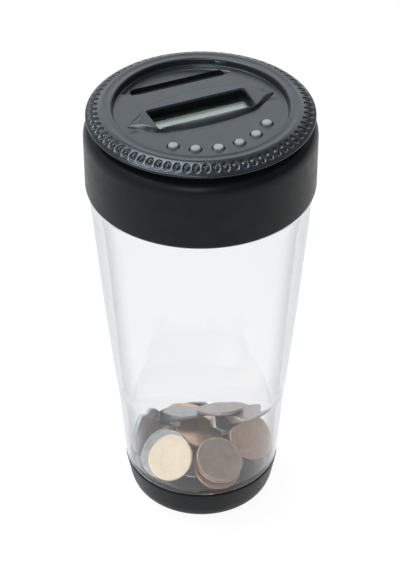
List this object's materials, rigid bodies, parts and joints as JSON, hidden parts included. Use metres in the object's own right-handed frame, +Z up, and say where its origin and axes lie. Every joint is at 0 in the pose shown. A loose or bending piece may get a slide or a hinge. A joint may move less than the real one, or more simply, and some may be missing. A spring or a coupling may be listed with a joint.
{
  "type": "digital coin counting jar",
  "caption": "Clear tapered coin jar with a dark screw-on lid that counts coins through a slot and shows the total on a small display.",
  "frame": {"origin": "centre of the foot ring's resting face, on the jar's centre line", "axes": "+Z up along the jar's centre line, -Y towards the side with the buttons, +X to the right of the display as read"},
  "size_m": [0.0872, 0.0872, 0.1816],
  "materials": {
    "clear_plastic": "thick clear moulded plastic, polished",
    "black_plastic": "satin black moulded plastic",
    "grey_plastic": "satin charcoal moulded plastic",
    "inner_plastic": "plain black moulding, unpolished",
    "button_rubber": "light grey satin button",
    "soft_rubber": "dark silicone rubber",
    "display_glass": "dark liquid crystal glass",
    "window_plastic": "clear window, polished",
    "board_resin": "green solder mask",
    "chip_resin": "black epoxy",
    "plated_steel": "bright nickel plating",
    "cell_sleeve": "printed shrink sleeve, plain colours",
    "red_sleeve": "red PVC insulation",
    "black_sleeve": "black PVC insulation",
    "coin_copper": "worn copper, satin",
    "coin_silver": "worn cupronickel, satin"
  },
  "bodies": {
    "jar": {"tumbler": "clear_plastic", "base_cap": "black_plastic", "coin_cent_1": "coin_copper", "coin_cent_2": "coin_copper", "coin_cent_3": "coin_copper", "coin_cent_4": "coin_copper", "coin_cent_5": "coin_copper", "coin_cent_6": "coin_copper", "coin_cent_7": "coin_copper", "coin_cent_8": "coin_copper", "coin_cent_9": "coin_copper", "coin_cent_10": "coin_copper", "coin_cent_11": "coin_copper", "coin_nickel_1": "coin_silver", "coin_nickel_2": "coin_silver", "coin_nickel_3": "coin_silver", "coin_nickel_4": "coin_silver", "coin_dime_1": "coin_silver", "coin_dime_2": "coin_silver", "coin_quarter_1": "coin_silver"},
    "gasket": {"lid_gasket": "soft_rubber"},
    "lid": {"top_cover": "grey_plastic", "lid_skirt": "black_plastic", "inner_housing": "inner_plastic", "display_window": "window_plastic", "lcd_glass": "display_glass", "lcd_holder": "inner_plastic", "zebra_connector": "soft_rubber", "circuit_board": "board_resin", "counter_chip": "chip_resin", "quartz_crystal": "plated_steel", "keypad_membrane": "soft_rubber", "coin_chute": "inner_plastic", "lever_pin": "plated_steel", "lever_spring": "plated_steel", "sensor_emitter": "display_glass", "sensor_receiver": "chip_resin", "battery_1": "cell_sleeve", "battery_2": "cell_sleeve", "battery_spring_1": "plated_steel", "battery_spring_2": "plated_steel", "battery_contact_1": "plated_steel", "battery_contact_2": "plated_steel", "housing_screw_1": "plated_steel", "housing_screw_2": "plated_steel", "housing_screw_3": "plated_steel", "housing_screw_4": "plated_steel", "battery_lead_red": "red_sleeve", "battery_lead_black": "black_sleeve"},
    "lever": {"coin_lever": "inner_plastic"},
    "door": {"battery_door": "inner_plastic"},
    "button_1": {"button_1": "button_rubber"},
    "button_2": {"button_2": "button_rubber"},
    "button_3": {"button_3": "button_rubber"},
    "button_4": {"button_4": "button_rubber"},
    "button_5": {"button_5": "button_rubber"},
    "button_6": {"button_6": "button_rubber"}
  },
  "joints": [
    {"name": "lid_rise", "type": "slide", "parent": "jar", "child": "gasket", "axis": [0, 0, 1], "range_m": [0, 0.04]},
    {"name": "lid_turn", "type": "hinge", "parent": "gasket", "child": "lid", "pos_m": [0, 0, 0.16], "axis": [0, 0, 1], "range_deg": [0, 600]},
    {"name": "lever_swing", "type": "hinge", "parent": "lid", "child": "lever", "pos_m": [0.021, 0.0217, 0.172], "axis": [0, -1, 0], "range_deg": [0, 40], "stiffness_Nm_per_rad": 0.004, "springref_deg": -20.05},
    {"name": "door_hinge", "type": "hinge", "parent": "lid", "child": "door", "pos_m": [0, -0.0001, 0.15475], "axis": [1, 0, 0], "range_deg": [0, 85]},
    {"name": "button_1_press", "type": "slide", "parent": "lid", "child": "button_1", "axis": [0, 0, -1], "range_m": [0, 0.0008], "stiffness_N_per_m": 600},
    {"name": "button_2_press", "type": "slide", "parent": "lid", "child": "button_2", "axis": [0, 0, -1], "range_m": [0, 0.0008], "stiffness_N_per_m": 600},
    {"name": "button_3_press", "type": "slide", "parent": "lid", "child": "button_3", "axis": [0, 0, -1], "range_m": [0, 0.0008], "stiffness_N_per_m": 600},
    {"name": "button_4_press", "type": "slide", "parent": "lid", "child": "button_4", "axis": [0, 0, -1], "range_m": [0, 0.0008], "stiffness_N_per_m": 600},
    {"name": "button_5_press", "type": "slide", "parent": "lid", "child": "button_5", "axis": [0, 0, -1], "range_m": [0, 0.0008], "stiffness_N_per_m": 600},
    {"name": "button_6_press", "type": "slide", "parent": "lid", "child": "button_6", "axis": [0, 0, -1], "range_m": [0, 0.0008], "stiffness_N_per_m": 600}
  ],
  "couplings": [
    {"joint": "lid_rise", "follows": "lid_turn", "m_per_rad": 0.0038197}
  ]
}
